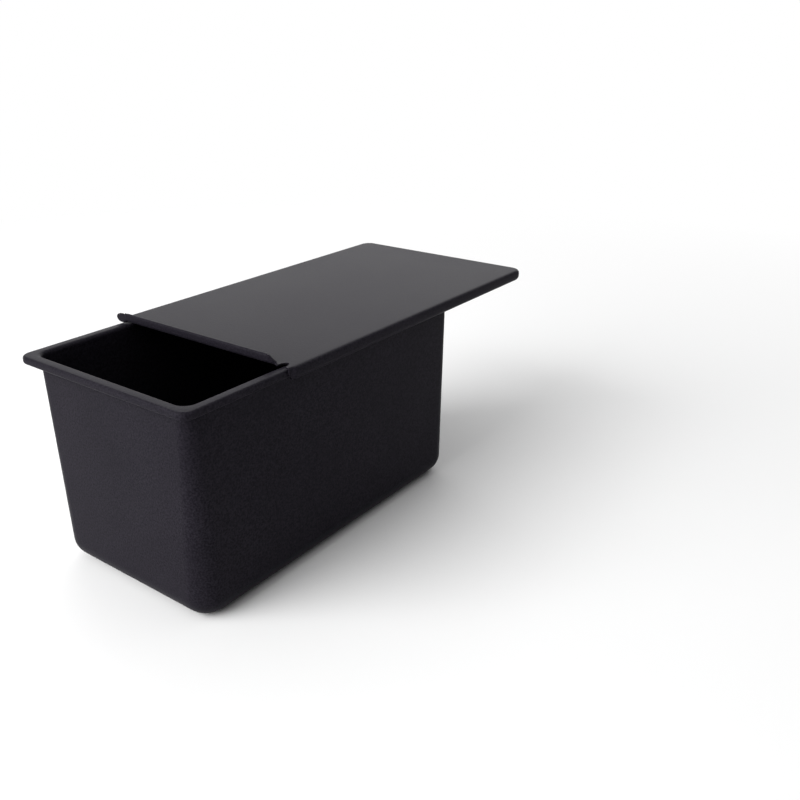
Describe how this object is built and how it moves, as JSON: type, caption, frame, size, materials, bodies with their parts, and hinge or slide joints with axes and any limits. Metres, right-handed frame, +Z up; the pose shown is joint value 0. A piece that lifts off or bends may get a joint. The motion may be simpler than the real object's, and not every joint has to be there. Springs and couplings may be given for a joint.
{
  "type": "lidded loaf pan",
  "caption": "Deep straight-sided loaf pan with a rolled rim and a flat sliding lid that runs on the rim, non-stick coated steel, with vent dimples in the base.",
  "frame": {"origin": "centre of the base, on the surface that the pan stands on", "axes": "+X along the loaf, the way the lid opens; +Y across the pan; +Z up"},
  "size_m": [0.2741, 0.1272, 0.118],
  "materials": {
    "pan_coating": "satin black non-stick coating with a fine orange-peel grain",
    "lid_coating": "satin black non-stick coating with a fine orange-peel grain",
    "wire_steel": "drawn steel wire"
  },
  "bodies": {
    "pan": {"pan_shell": "pan_coating", "rim_wire": "wire_steel"},
    "lid": {"lid": "lid_coating"}
  },
  "joints": [
    {"name": "lid_slide", "type": "slide", "parent": "pan", "child": "lid", "axis": [1, 0, 0], "range_m": [-0.0637, 0.15]}
  ]
}
